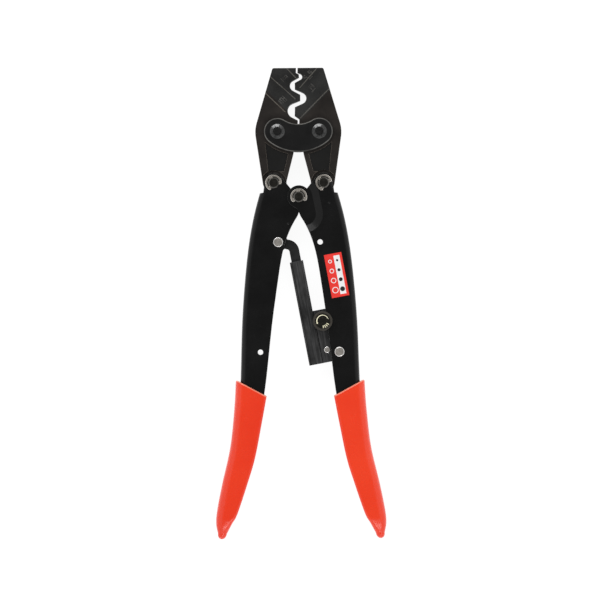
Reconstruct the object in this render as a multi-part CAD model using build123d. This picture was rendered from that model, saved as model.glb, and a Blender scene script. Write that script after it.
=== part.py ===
from build123d import *
import math
import os

os.makedirs("parts", exist_ok=True)

# A two-handed ratcheting crimper lying flat on its back. +Y runs towards the jaws,
# +Z is the front face, and the floor is z = 0. Lengths are in millimetres.

# Overall size
TOOL_LENGTH = 350.0
TOP_Y = TOOL_LENGTH / 2
MID_Z = 11.3

# Heights measured from the middle plane
JAW_HALF = 8.0
TAIL_HALF = 5.9
CHANNEL_HALF = 8.0
GRIP_HALF = 10.75
RACK_HALF = 2.5
HOUSING_HALF = 3.8
SLEEVE_HALF = 4.2

# Sheet and plate thicknesses
SHEET = 2.0
JOGGLE = 2.1
PLATE = 3.2
HOUSING_SHEET = 1.1
GAP = 0.1

# Pivots on the right-hand side of the centre line
JAW_PIVOT = (15.6, 127.9)
OUTER_PIN = (18.65, 89.8)
CENTRE_PIN = (0.0, 79.3)
RACK_RIVET = (15.6, 45.7)
HOUSING_RIVET = (29.35, -36.0)
KNOB = (17.0, -13.1)
SPRING_RIVET = (20.3, -34.5)

# Pins, rivets and clearances
PIVOT_R = 5.0
PIVOT_NECK_R = 2.9
PIVOT_RING_R = 5.5
PIVOT_RING = 0.9
PIVOT_RING_RIM = 0.3
PIVOT_NOTCHES = 8
PIN_R = 4.0
PIN_GROOVE_R = 3.0
PIN_HEAD_R = 6.2
PIN_HEAD = 1.1
PIN_HEAD_CHAMFER = 0.3
PIN_END = 1.1
PIN_CHAMFER = 0.8
CLIP_R = 6.1
CLIP_INSIDE_R = 4.6
CLIP_CHAMFER = 0.2
CLIP_LUG = 2.1
CLIP_LUG_ANGLE = 63
CLIP = 0.8
RIVET_R = 2.0
RIVET_HEAD_R = 3.65
RIVET_HEAD = 0.9
RIVET_ROUND = 0.6
SPRING_RIVET_HEAD_R = 2.4
SPACER_R = 4.2
CENTRE_SPACER_R = 6.5
RUN = 0.05
CENTRE_PLAY = 0.95

# Link plates
LOBE_R = 9.9
PLATE_DIP_Y = 133.4
PLATE_BELLY_Y = 112.6
PLATE_CHAMFER = 0.7

# Jaws
TAIL_R = 8.1
SHOULDER_R = 9.4
JAW_CORNER = (-18.9, TOP_Y)
JAW_WIDEST = (-32.5, 129.1)
TAIL_SIDE = (-26.6, 89.0)
TAIL_INSIDE = (-9.0, 91.0)
WAIST = (-3.9, 110.8)
GROOVE_WIDTH = 0.45
GROOVE_DEPTH = 0.3
POCKET_DEPTH = 0.8
POCKET_MARGIN = 2.1
JAW_CORNER_R = 1.5
JAW_WIDEST_R = 24
FIGURE_DEPTH = 0.25

# Handle pressing
BOSS_R = 8.5
EAR_R = 7.2
WEB_TOP = (28.9, 82.2)
WEB_NOTCH = (26.4, 82.5)
BEND_R = 4.5
HANDLE_END_Y = -158.0
JOGGLE_R = 10.0
JOGGLE_FOOT = ((4.0, 66.5), 8.6)
JOGGLE_RAMP = 5.2
FRONT_DIMPLE = (22.5, 74.5)
REAR_DIMPLE = (8.2, 59.4)
DIMPLE_R = 0.75
DIMPLE_DEPTH = 0.3

# Ratchet
TILT = 10.4
RACK_WIDTH = 7.3
RACK_BEND_R = 5.5
RACK_PITCH = 1.99
TOOTH_DEPTH = 1.1
TEETH = 10
PAWL_REACH = 54.0
SLEEVE_WIDTH = 10.0
SLEEVE_LENGTH = 78.0
SLEEVE_BEND_R = 1.1
CREASE = 0.5
CREASE_DEPTH = 0.45
EAR_CORNER_R = 3.5
EAR_START = 38.5
WINDOW = (40.0, 74.5)
SLEEVE_TOP = (-2.2, 31.3)
EYE_R = 6.9
SLOT_TRAVEL = 2.1
SLOT_ANGLE = 45
SLOT_PLAY = 0.4
KNOB_R = 7.3
KNOB_LOW = 8.5
KNOB_HIGH = 11.9
SHAFT_R = 2.9
KNOB_ROUND = 0.6
KNOB_RIM = 1.6
KNOB_DISH = 0.35
PAWL_BOSS_R = 5.0
PAWL_ARM_R = 3.4
LEAF = 0.5
LEAF_HALF = 1.8

# Label
LABEL_CENTRE = (27.6, 20.9)
LABEL_SIZE = (13.1, 32.6)
LABEL_TILT = 10.3
LABEL = 0.15

# Grips
GRIP_ROUND = 4.5
TIP_R = 5.0

# Size figures, built from seven straight strokes
FIGURE_HEIGHT = 3.2
FIGURE_WIDTH = 1.7
STROKE = 0.4


def prism(shape, low, high):
    """A flat outline raised between two heights measured from the middle plane."""
    return extrude(Pos(0, 0, MID_Z + low) * shape, high - low, dir=(0, 0, 1))


def rod(centre, radius, low, high):
    """A round bar standing between two heights measured from the middle plane."""
    return prism(Pos(*centre) * Circle(radius), low, high)


def tube(centre, outer, inner, low, high):
    """A round bar with a hole through it."""
    return rod(centre, outer, low, high) - rod(centre, inner, low - 1, high + 1)


def both_faces(shape, low, high):
    """The same raised outline in front of the middle plane and behind it."""
    return prism(shape, low, high) + prism(shape, -high, -low)


def at_left(point):
    """The mirror image of a point across the tool's centre line."""
    return (-point[0], point[1])


def flipped(shape):
    """The mirror image of a piece across the tool's centre line."""
    return mirror(shape, about=Plane.YZ)


def turned_over(shape):
    """The same piece turned half a turn about the tool's long axis."""
    return mirror(flipped(shape), about=Plane.XY.offset(MID_Z))


def beyond(centre, target, length):
    """The point at a given distance from centre in the direction of target."""
    reach = math.dist(centre, target)
    return tuple(c + (t - c) * length / reach for c, t in zip(centre, target))


def along_rack(distance, side=0.0):
    """A point a distance down the sleeve from its mouth, and to the right of its axis."""
    lean = math.radians(TILT)
    x = SLEEVE_TOP[0] + distance * math.sin(lean) + side * math.cos(lean)
    y = SLEEVE_TOP[1] - distance * math.cos(lean) + side * math.sin(lean)
    return (x, y)


def strip(start, end, width):
    """A straight strip of constant width between two points."""
    middle = [(a + b) / 2 for a, b in zip(start, end)]
    angle = math.degrees(math.atan2(end[1] - start[1], end[0] - start[0]))
    return Pos(*middle) * Rot(0, 0, angle) * Rectangle(math.dist(start, end), width)


def hull(*shapes):
    """The outline stretched tightly round several shapes."""
    return make_hull([edge for shape in shapes for edge in shape.edges()])


def patch(*points):
    """A flat outline with straight sides, facing the front whichever way it is drawn."""
    area = sum(a[0] * b[1] - b[0] * a[1] for a, b in zip(points, points[1:] + points[:1]))
    ordered = points if area > 0 else points[::-1]
    return Polygon(*ordered, align=None)


def disc(centre, radius):
    """A flat round outline."""
    return Pos(*centre) * Circle(radius)


def upright_edge(body, point):
    """The vertical edge of a body nearest to a point."""
    upright = body.edges().filter_by(Axis.Z)
    return upright.sort_by(lambda edge: math.dist((edge.center().X, edge.center().Y), point))[0]


def tangent_radius(depth):
    """Radius of the arc that spans both pivots' lobes and passes this far from their line."""
    return (JAW_PIVOT[0] ** 2 + depth**2 - LOBE_R**2) / (2 * (depth - LOBE_R))


DIP_R = -tangent_radius(PLATE_DIP_Y - JAW_PIVOT[1])
BELLY_R = tangent_radius(JAW_PIVOT[1] - PLATE_BELLY_Y)


# Jaws. Each has a thick head with its crimping nests and a thin tail that enters the handle.
def seat(centre, radius, mouth_top, mouth_bottom):
    """A round-bottomed crimping nest that widens to its mouth."""
    return hull(disc(centre, radius), Line(mouth_top, mouth_bottom))


def jaw_outline(meeting_edge):
    """The outside of a left jaw, closed by the edge that meets the other jaw."""
    x, y = at_left(OUTER_PIN)
    outside = Polyline(meeting_edge[0], JAW_CORNER, JAW_WIDEST, TAIL_SIDE)
    end = ThreePointArc(TAIL_SIDE, (x, y - TAIL_R), TAIL_INSIDE)
    inside = Polyline(TAIL_INSIDE, WAIST, *reversed(meeting_edge))
    return make_face([outside, end, inside])


def make_jaw(outline, grooves):
    """A left jaw with its pivot hole, thin tail, pockets and dividing lines."""
    pivot = at_left(JAW_PIVOT)
    pin = at_left(OUTER_PIN)
    jaw = prism(outline, -JAW_HALF, JAW_HALF)
    jaw = fillet(upright_edge(jaw, JAW_CORNER), JAW_CORNER_R)
    jaw = fillet(upright_edge(jaw, JAW_WIDEST), JAW_WIDEST_R)
    jaw -= rod(pivot, PIVOT_R + RUN, -JAW_HALF, JAW_HALF)
    jaw -= rod(pin, PIN_R + RUN, -JAW_HALF, JAW_HALF)
    thin_tail = disc(pin, SHOULDER_R) + Pos(pin[0], pin[1] - 12) * Rectangle(24, 28)
    jaw -= both_faces(thin_tail, TAIL_HALF, JAW_HALF + 1)
    # The pocket stops short of the link plate's belly and follows its curve.
    pocket = patch((-24.9, 121), (-22.5, 98.2), (-10.9, 98.2), (-5.3, 121))
    pocket -= disc((0, PLATE_BELLY_Y + BELLY_R), BELLY_R + POCKET_MARGIN)
    jaw -= both_faces(pocket, JAW_HALF - POCKET_DEPTH, JAW_HALF + 1)
    for start, end in grooves:
        jaw -= both_faces(strip(start, end, GROOVE_WIDTH), JAW_HALF - GROOVE_DEPTH, JAW_HALF + 1)
    return jaw


def figure(mark):
    """One figure, or a decimal point, drawn with the straight strokes it needs."""
    if mark == ".":
        return Pos(0, -FIGURE_HEIGHT / 2) * Rectangle(STROKE * 1.4, STROKE * 1.4)
    w, h = FIGURE_WIDTH / 2, FIGURE_HEIGHT / 2
    strokes = {
        "top": ((-w, h), (w, h)),
        "middle": ((-w, 0), (w, 0)),
        "bottom": ((-w, -h), (w, -h)),
        "upper_left": ((-w, 0), (-w, h)),
        "upper_right": ((w, 0), (w, h)),
        "lower_left": ((-w, -h), (-w, 0)),
        "lower_right": ((w, -h), (w, 0)),
    }
    unused = {
        "1": ("top", "middle", "bottom", "upper_left", "lower_left"),
        "2": ("upper_left", "lower_right"),
        "4": ("top", "bottom", "lower_left"),
        "5": ("upper_right", "lower_left"),
        "8": (),
    }
    shape = Sketch()
    for name, (start, end) in strokes.items():
        if name not in unused[mark]:
            shape += strip(start, end, STROKE) + disc(start, STROKE / 2) + disc(end, STROKE / 2)
    return shape


def sink_figures(jaw, text, centre, angle):
    """Size figures sunk into the front of a jaw, with a short bar beneath them."""
    step = FIGURE_WIDTH + 0.9
    shape = Pos(0, -FIGURE_HEIGHT / 2 - 1.3) * Rectangle(3.4, STROKE)
    for place, mark in enumerate(text):
        shape += Pos((place - (len(text) - 1) / 2) * step, 0) * figure(mark)
    return jaw - prism(Pos(*centre) * Rot(0, 0, angle) * shape, JAW_HALF - FIGURE_DEPTH, JAW_HALF + 1)


# The left jaw seats the second and largest barrels.
left_edge = [(-1.4, TOP_Y), (-1.45, 171.3), (0.7, 170.1), (1.6, 155.0)]
left_edge += [(1.6, 150.7), (-0.3, 135.9), (-0.65, 130)]
left_outline = jaw_outline(left_edge)
left_outline -= seat((-1.8, 161.7), 4.2, (0.75, 167.9), (1.65, 155.0))
left_outline -= seat((-2.16, 143.2), 5.6, (1.65, 150.7), (-0.25, 135.9))
left_lines = [((-9.0, 175.5), (-1.4, 167.4)), ((-21.5, 169.5), (-2.0, 152.0))]
left_lines += [((-25.2, 157.4), (-9.6, 142.4))]
left_jaw = make_jaw(left_outline, left_lines)
left_jaw = sink_figures(left_jaw, "8", (-9.6, 168.0), -45)
left_jaw = sink_figures(left_jaw, "22", (-11.0, 151.4), -45)

# The right jaw seats the smallest and third barrels. Its outline is drawn left-handed too.
right_edge = [(0.25, TOP_Y), (0.35, 171.6), (2.4, 163.7), (2.35, 159.2), (2.4, 145.8), (2.6, 139.4)]
right_edge += [(-0.8, 137.0), (-0.65, 130)]
right_outline = jaw_outline(right_edge)
right_outline -= seat((-0.8, 168.4), 2.4, (0.4, 171.6), (2.45, 163.8))
right_outline -= seat((-1.7, 152.5), 4.4, (2.45, 159.2), (2.5, 145.8))
right_lines = [((-14.8, 175.5), (-1.2, 160.2)), ((-23.2, 159.6), (-1.4, 137.6))]
right_jaw = flipped(make_jaw(right_outline, right_lines))
right_jaw = sink_figures(right_jaw, "5.5", (7.4, 169.6), 47)
right_jaw = sink_figures(right_jaw, "14", (9.4, 160.4), 47)


# Link plates hold the two jaw pivots a fixed distance apart.
def plate_outline():
    """A bean outline: a lobe round each pivot, a dip between them and a full belly."""
    top = beyond(JAW_PIVOT, (0, PLATE_DIP_Y + DIP_R), LOBE_R)
    low = beyond(JAW_PIVOT, (0, PLATE_BELLY_Y + BELLY_R), -LOBE_R)
    side = (JAW_PIVOT[0] + LOBE_R, JAW_PIVOT[1])
    edges = [
        ThreePointArc(at_left(top), (0, PLATE_DIP_Y), top),
        ThreePointArc(top, side, low),
        ThreePointArc(low, (0, PLATE_BELLY_Y), at_left(low)),
        ThreePointArc(at_left(low), at_left(side), at_left(top)),
    ]
    return make_face(edges)


PLATE_IN = JAW_HALF + GAP
PLATE_OUT = PLATE_IN + PLATE
front_link_plate = prism(plate_outline(), PLATE_IN, PLATE_OUT)
front_link_plate = chamfer(front_link_plate.faces().sort_by(Axis.Z)[-1].edges(), PLATE_CHAMFER)
rear_link_plate = prism(plate_outline(), -PLATE_OUT, -PLATE_IN)
rear_link_plate = chamfer(rear_link_plate.faces().sort_by(Axis.Z)[0].edges(), PLATE_CHAMFER)
for centre in (JAW_PIVOT, at_left(JAW_PIVOT)):
    front_link_plate -= rod(centre, PIVOT_NECK_R + RUN, PLATE_IN, PLATE_OUT)
    rear_link_plate -= rod(centre, PIVOT_R + RUN, -PLATE_OUT, -PLATE_IN)


def jaw_pivot(centre):
    """A shouldered pivot pin, necked down through the front plate."""
    pin = rod(centre, PIVOT_R, -PLATE_OUT, PLATE_IN)
    pin += rod(centre, PIVOT_NECK_R, PLATE_IN, PLATE_OUT + PIVOT_RING - 0.2)
    return chamfer(pin.faces().sort_by(Axis.Z)[-1].edges(), 0.4)


def pivot_ring(centre):
    """A coned lock ring on a pivot's neck, with shallow notches round its face."""
    cone_height = PIVOT_RING - PIVOT_RING_RIM
    ring = rod(centre, PIVOT_RING_R, PLATE_OUT, PLATE_OUT + PIVOT_RING_RIM)
    cone = Cone(PIVOT_RING_R, PIVOT_NECK_R + 0.6, cone_height)
    ring += Pos(*centre, MID_Z + PLATE_OUT + PIVOT_RING_RIM + cone_height / 2) * cone
    ring -= rod(centre, PIVOT_NECK_R + RUN, PLATE_OUT, PLATE_OUT + PIVOT_RING)
    for notch in range(PIVOT_NOTCHES):
        angle = 2 * math.pi * (notch + 0.5) / PIVOT_NOTCHES
        reach = PIVOT_RING_R + 0.5
        outer = (centre[0] + reach * math.cos(angle), centre[1] + reach * math.sin(angle))
        ring -= prism(strip(centre, outer, 0.5), PLATE_OUT + PIVOT_RING - 0.35, PLATE_OUT + 2)
    return ring


left_jaw_pivot = jaw_pivot(at_left(JAW_PIVOT))
right_jaw_pivot = jaw_pivot(JAW_PIVOT)
left_pivot_ring = pivot_ring(at_left(JAW_PIVOT))
right_pivot_ring = pivot_ring(JAW_PIVOT)


# Handles. Both are one pressing, a channel open to the inside; one is turned over.
def handle_outline():
    """The flange outline of the right handle, ears and boss included."""
    web_foot, inner_foot = (60.6, HANDLE_END_Y), (51.5, HANDLE_END_Y)
    upper = [WEB_TOP, (36.0, 52.8), (40.5, 17.2), (43.0, -18.5)]
    web = Spline(*upper, (44.4, -60), (47.8, -97), (54.2, -130), web_foot)
    end = Line(web_foot, inner_foot)
    lower = [inner_foot, (40.8, -126), (31.6, -92), (26.6, -66)]
    inner = Spline(*lower, (21.0, -18.5), (16.0, 17.2), (9.4, 48.4), (3.2, 61.75))
    x, y = CENTRE_PIN
    crotch = Spline((3.2, 61.75), (0.9, 65.6), (-2.6, y - 8.2), tangents=[(-0.5, 0.86), (-0.9, 0.3)])
    boss = ThreePointArc((-2.6, y - 8.2), (x - BOSS_R, y), (6.0, y + 6.1))
    ear_left = beyond(OUTER_PIN, (10.2, 95.0), EAR_R)
    ear_right = beyond(OUTER_PIN, (26.0, 94.0), EAR_R)
    saddle = Line((6.0, y + 6.1), ear_left)
    ear = ThreePointArc(ear_left, (OUTER_PIN[0], OUTER_PIN[1] + EAR_R), ear_right)
    shoulder = Polyline(ear_right, WEB_NOTCH, WEB_TOP)
    return make_face([web, end, inner, crotch, boss, saddle, ear, shoulder])


def joggle_outline():
    """The part of a flange that is pushed out so the other handle's flange passes under it."""
    return hull(disc(CENTRE_PIN, JOGGLE_R), disc(*JOGGLE_FOOT))


def frustum(shape, low, start, end):
    """A ramp round an outline, shrinking as it rises by the joggle."""
    base = offset(shape, amount=start)
    top = offset(shape, amount=end)
    return loft([Pos(0, 0, MID_Z + low) * base, Pos(0, 0, MID_Z + low + JOGGLE) * top])


def web_rims(body):
    """The two long edges where a flange turns into the outer web."""
    level = body.edges().filter_by(lambda edge: abs(edge.tangent_at(0.5).Z) < 0.01)
    return level.sort_by(lambda edge: edge.length * (edge.center().X > 35))[-2:]


def dimple(centre, side):
    """A shallow round dent, part of a sphere, in the front face (side 1) or the rear face (-1)."""
    sphere_r = (DIMPLE_R**2 + DIMPLE_DEPTH**2) / (2 * DIMPLE_DEPTH)
    height = MID_Z + side * (CHANNEL_HALF + sphere_r - DIMPLE_DEPTH)
    return Pos(*centre, height) * Sphere(sphere_r)


def make_handle(centre_hole):
    """The right handle pressing: channel, joggled front flange, bends and holes."""
    outline = handle_outline()
    inside = CHANNEL_HALF - SHEET
    handle = prism(outline, -CHANNEL_HALF, CHANNEL_HALF)
    handle = fillet(web_rims(handle), BEND_R)
    hollow = prism(Pos(-SHEET - 0.1, 0) * outline, -inside, inside)
    handle -= fillet(web_rims(hollow), BEND_R - SHEET)
    handle -= prism(Pos(20, WEB_TOP[1] + 20) * Rectangle(80, 40), -inside, inside)
    raised = joggle_outline()
    # The inside of the ramp stands in by this much, which keeps the sheet's thickness.
    shift = SHEET * math.tan(math.atan2(JOGGLE, JOGGLE_RAMP) / 2)
    step = frustum(raised, CHANNEL_HALF, JOGGLE_RAMP, 0.0)
    handle += prism(outline, CHANNEL_HALF, CHANNEL_HALF + JOGGLE) & step
    handle -= frustum(raised, inside, JOGGLE_RAMP - shift, -shift)
    for low, high in ((-CHANNEL_HALF - 1, -inside + 1), (inside - 1, CHANNEL_HALF + JOGGLE + 1)):
        handle -= rod(CENTRE_PIN, centre_hole, low, high)
        handle -= rod(OUTER_PIN, PIN_R + RUN, low, high)
        handle -= rod(RACK_RIVET, RIVET_R, low, high)
        handle -= rod(HOUSING_RIVET, RIVET_R, low, high)
    handle -= dimple(FRONT_DIMPLE, 1)
    return handle - dimple(REAR_DIMPLE, -1)


right_handle = make_handle(PIN_R + RUN)
left_handle = turned_over(make_handle(PIN_R + CENTRE_PLAY))


# Grips are thick PVC sleeves pulled over the ends of the handles.
def make_grip():
    """The right grip, hollow where the handle runs into it."""
    tip_x, tip_y = 58.3, TIP_R - TOP_Y
    outer_end = (tip_x + TIP_R, tip_y)
    inner_end = (tip_x - TIP_R * math.cos(0.35), tip_y - TIP_R * math.sin(0.35))
    outer_points = [(47.6, -57.6), (48.8, -76), (51.3, -96.5), (55.5, -120), (60.7, -145), outer_end]
    outer = Spline(outer_points, tangents=[(0.1, -1), (0, -1)])
    tip = ThreePointArc(outer_end, (tip_x, tip_y - TIP_R), inner_end)
    inner_points = [inner_end, (49.3, -161), (42.4, -141), (34.9, -116.5), (28.6, -90), (25.2, -69.8)]
    inner = Spline(inner_points, tangents=[(-math.sin(0.35), math.cos(0.35)), (-0.12, 1)])
    top = Line(inner_points[-1], outer_points[0])
    grip = prism(make_face([outer, tip, inner, top]), -GRIP_HALF, GRIP_HALF)
    for side in (-1, 0):
        rim = grip.faces().sort_by(Axis.Z)[side].edges()
        grip = fillet([edge for edge in rim if edge.center().Y < -70], GRIP_ROUND)
    return grip - prism(handle_outline(), -CHANNEL_HALF, CHANNEL_HALF)


right_grip = make_grip()
left_grip = turned_over(make_grip())


# Pins with a flat rear head and a groove for an E-clip in front.
def make_pin(centre, rear, front):
    """A headed pin reaching from the rear flange's face to just past the clip."""
    pin = rod(centre, PIN_R, -rear, front + CLIP + PIN_END)
    pin -= tube(centre, PIN_R + 1, PIN_GROOVE_R, front, front + CLIP + 0.1)
    pin += rod(centre, PIN_HEAD_R, -rear - PIN_HEAD, -rear)
    pin = chamfer(pin.faces().sort_by(Axis.Z)[-1].edges(), PIN_CHAMFER)
    return chamfer(pin.faces().sort_by(Axis.Z)[0].edges(), PIN_HEAD_CHAMFER)


def make_clip(centre, front, opening):
    """An E-clip: an open ring with a prong at its back and one at each rounded end."""
    reach = 2 * CLIP_R
    lean = math.radians(CLIP_LUG_ANGLE)
    corner = (reach * math.cos(lean), reach * math.sin(lean))
    mouth = patch((0, 0), (corner[0], -corner[1]), (reach, 0), corner)
    shape = Circle(CLIP_R) - Circle(CLIP_INSIDE_R) - mouth
    for angle in (-CLIP_LUG_ANGLE, CLIP_LUG_ANGLE, 180):
        shape += Rot(0, 0, angle) * Pos(CLIP_INSIDE_R / 2 + 0.4, 0) * Rectangle(CLIP_INSIDE_R, CLIP_LUG)
        shape += Rot(0, 0, angle) * Pos(CLIP_R - CLIP_LUG / 2, 0) * Circle(CLIP_LUG / 2)
    shape -= Circle(PIN_GROOVE_R + RUN)
    clip = prism(Pos(*centre) * Rot(0, 0, opening) * shape, front + 0.02, front + CLIP)
    return chamfer(clip.faces().sort_by(Axis.Z)[-1].edges(), CLIP_CHAMFER)


FLANGE_OUT = CHANNEL_HALF
RAISED_OUT = CHANNEL_HALF + JOGGLE
left_outer_pin = make_pin(at_left(OUTER_PIN), FLANGE_OUT, FLANGE_OUT)
right_outer_pin = make_pin(OUTER_PIN, FLANGE_OUT, FLANGE_OUT)
centre_pin = make_pin(CENTRE_PIN, RAISED_OUT, RAISED_OUT)
left_outer_clip = make_clip(at_left(OUTER_PIN), FLANGE_OUT, -62)
right_outer_clip = make_clip(OUTER_PIN, FLANGE_OUT, -46)
centre_clip = make_clip(CENTRE_PIN, RAISED_OUT, -85)
centre_spacer = tube(CENTRE_PIN, CENTRE_SPACER_R, PIN_R + RUN, -TAIL_HALF, TAIL_HALF)


# Rivets with low domed heads.
def make_rivet(centre, half, head_r=RIVET_HEAD_R):
    """A rivet through a stack of the given half thickness, headed on both sides."""
    rivet = rod(centre, RIVET_R, -half, half)
    rivet += rod(centre, head_r, half, half + RIVET_HEAD)
    rivet += rod(centre, head_r, -half - RIVET_HEAD, -half)
    rivet = fillet(rivet.faces().sort_by(Axis.Z)[-1].edges(), RIVET_ROUND)
    return fillet(rivet.faces().sort_by(Axis.Z)[0].edges(), RIVET_ROUND)


rack_rivet = make_rivet(at_left(RACK_RIVET), CHANNEL_HALF)
housing_rivet = make_rivet(HOUSING_RIVET, CHANNEL_HALF)
spring_rivet = make_rivet(SPRING_RIVET, HOUSING_HALF, SPRING_RIVET_HEAD_R)


def make_spacer(centre, half):
    """A collar that fills one side between a part of this half thickness and a flange."""
    return tube(centre, SPACER_R, RIVET_R + RUN, half + GAP, CHANNEL_HALF - SHEET)


def to_rear(shape):
    """The mirror image of a piece behind the middle plane."""
    return mirror(shape, about=Plane.XY.offset(MID_Z))


rack_front_spacer = make_spacer(at_left(RACK_RIVET), RACK_HALF)
rack_rear_spacer = to_rear(rack_front_spacer)
housing_front_spacer = make_spacer(HOUSING_RIVET, HOUSING_HALF)
housing_rear_spacer = to_rear(housing_front_spacer)


# The ratchet bar runs down through the sleeve and bends over to the left handle.
def make_rack():
    """A toothed flat bar with a bent arm and a slotted eye."""
    eye = at_left(RACK_RIVET)
    elbow = along_rack(-11.8)
    foot = along_rack(SLEEVE_LENGTH - 6)
    centre_line = FilletPolyline(foot, elbow, eye, radius=RACK_BEND_R)
    outline = trace(centre_line, RACK_WIDTH) + disc(eye, EYE_R)
    rack = prism(outline, -RACK_HALF, RACK_HALF)
    slot = SlotCenterToCenter(2 * SLOT_TRAVEL, 2 * (RIVET_R + SLOT_PLAY))
    rack -= prism(Pos(*eye) * Rot(0, 0, SLOT_ANGLE) * slot, -RACK_HALF, RACK_HALF)
    edge = RACK_WIDTH / 2
    for tooth in range(TEETH):
        wall = FIRST_TOOTH + tooth * RACK_PITCH
        root = along_rack(wall, edge - TOOTH_DEPTH)
        low = along_rack(wall, edge + 0.2)
        high = along_rack(wall - RACK_PITCH * 0.96, edge + 0.2)
        rack -= prism(patch(root, low, high), -RACK_HALF, RACK_HALF)
    return rack


PAWL_TIP = along_rack(PAWL_REACH, RACK_WIDTH / 2 + GAP)
FIRST_TOOTH = PAWL_REACH + 0.25 - RACK_PITCH
rack = make_rack()


# The housing is a folded sleeve for the bar with two ears that carry the pawl.
def make_housing():
    """Sleeve, ears and the window the pawl works through."""
    wall = HOUSING_SHEET
    top, bottom = along_rack(0), along_rack(SLEEVE_LENGTH)
    sleeve = prism(strip(top, bottom, SLEEVE_WIDTH), -SLEEVE_HALF, SLEEVE_HALF)
    long_edges = sleeve.edges().filter_by(lambda edge: edge.length > SLEEVE_LENGTH / 2)
    sleeve = fillet(long_edges, SLEEVE_BEND_R)
    sides = ((31.5, -17), (35.0, -36), (30.0, -42.0))
    ears = patch(along_rack(EAR_START), along_rack(EAR_START, 17.5), *sides, along_rack(SLEEVE_LENGTH))
    housing = sleeve + prism(ears, -HOUSING_HALF, HOUSING_HALF)
    for corner in sides:
        housing = fillet(upright_edge(housing, corner), EAR_CORNER_R)
    fold = (SLEEVE_WIDTH + CREASE) / 2
    crease = strip(along_rack(EAR_START + 1, fold), along_rack(SLEEVE_LENGTH + 1, fold), CREASE)
    housing -= both_faces(crease, HOUSING_HALF - CREASE_DEPTH, HOUSING_HALF + 1)
    bore = strip(along_rack(-1), along_rack(SLEEVE_LENGTH + 1), RACK_WIDTH + 0.2)
    housing -= prism(bore, wall - HOUSING_HALF, HOUSING_HALF - wall)
    window = strip(along_rack(WINDOW[0], 13.7), along_rack(WINDOW[1], 13.7), 20)
    housing -= prism(window, wall - HOUSING_HALF, HOUSING_HALF - wall)
    housing -= rod(HOUSING_RIVET, RIVET_R + RUN, -HOUSING_HALF, HOUSING_HALF)
    housing -= rod(KNOB, SHAFT_R + RUN, -HOUSING_HALF, HOUSING_HALF)
    housing -= rod(SPRING_RIVET, RIVET_R, -HOUSING_HALF, HOUSING_HALF)
    return housing


ratchet_housing = make_housing()


# The pawl, its shaft and the release knob turn together.
def make_pawl():
    """A hooked lever whose tip drops between the bar's teeth."""
    tip = PAWL_TIP
    heel = (tip[0] + 3.4, tip[1] + 0.4)
    boss = disc(KNOB, PAWL_BOSS_R)
    arm = hull(disc(KNOB, PAWL_ARM_R), disc((tip[0] + 3.0, tip[1] + 1.8), 1.3))
    nose = patch(tip, heel, (tip[0] + 2.8, tip[1] + 4.0), (tip[0] + 1.5, tip[1] + 3.6))
    outline = boss + arm + nose
    return prism(outline, -RACK_HALF, RACK_HALF) - rod(KNOB, SHAFT_R, -RACK_HALF, RACK_HALF)


pawl = make_pawl()
knob_shaft = rod(KNOB, SHAFT_R, -HOUSING_HALF - 0.6, KNOB_LOW)
release_knob = rod(KNOB, KNOB_R, KNOB_LOW, KNOB_HIGH)
release_knob = fillet(release_knob.faces().sort_by(Axis.Z)[-1].edges(), KNOB_ROUND)
release_knob -= rod(KNOB, KNOB_R - KNOB_RIM, KNOB_HIGH - KNOB_DISH, KNOB_HIGH)


# A bent leaf on the small rivet keeps the pawl in the teeth.
def make_spring():
    """A thin curved strip from the small rivet up to the pawl."""
    coil = disc(SPRING_RIVET, 2.9) - disc(SPRING_RIVET, RIVET_R + RUN)
    start = (SPRING_RIVET[0] - 2.6, SPRING_RIVET[1] + 0.9)
    tip = (PAWL_TIP[0] + 5.6, PAWL_TIP[1] + 0.2)
    path = Spline(start, ((start[0] + tip[0]) / 2 - 0.6, (start[1] + tip[1]) / 2), tip)
    leaf = trace(path, LEAF)
    return prism(coil + leaf, -LEAF_HALF, LEAF_HALF)


pawl_spring = make_spring()

# A printed label stands on the right handle's front flange.
label_shape = Pos(*LABEL_CENTRE) * Rot(0, 0, LABEL_TILT) * Rectangle(*LABEL_SIZE)
size_label = prism(label_shape, CHANNEL_HALF, CHANNEL_HALF + LABEL)

pieces = {
    "front_link_plate": front_link_plate,
    "rear_link_plate": rear_link_plate,
    "left_jaw_pivot": left_jaw_pivot,
    "right_jaw_pivot": right_jaw_pivot,
    "left_pivot_ring": left_pivot_ring,
    "right_pivot_ring": right_pivot_ring,
    "left_jaw": left_jaw,
    "right_jaw": right_jaw,
    "left_handle": left_handle,
    "right_handle": right_handle,
    "left_grip": left_grip,
    "right_grip": right_grip,
    "left_outer_pin": left_outer_pin,
    "right_outer_pin": right_outer_pin,
    "centre_pin": centre_pin,
    "left_outer_clip": left_outer_clip,
    "right_outer_clip": right_outer_clip,
    "centre_clip": centre_clip,
    "centre_spacer": centre_spacer,
    "rack": rack,
    "rack_rivet": rack_rivet,
    "rack_front_spacer": rack_front_spacer,
    "rack_rear_spacer": rack_rear_spacer,
    "ratchet_housing": ratchet_housing,
    "housing_rivet": housing_rivet,
    "housing_front_spacer": housing_front_spacer,
    "housing_rear_spacer": housing_rear_spacer,
    "spring_rivet": spring_rivet,
    "pawl": pawl,
    "knob_shaft": knob_shaft,
    "release_knob": release_knob,
    "pawl_spring": pawl_spring,
    "size_label": size_label,
}
for name, shape in pieces.items():
    export_step(shape, f"parts/{name}.step")
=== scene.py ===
# %% [markdown]
# # A ratcheting lug crimper
#
# The tool lies on its back on a pale table and is seen from straight above. Its steel pieces
# come ready-made from the CAD frame, in metres. This script gives every one of them a finish,
# and makes the pieces that dipping or printing shaped: the vinyl grips, the marks on the
# release knob and the print on the size label.

import math

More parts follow.
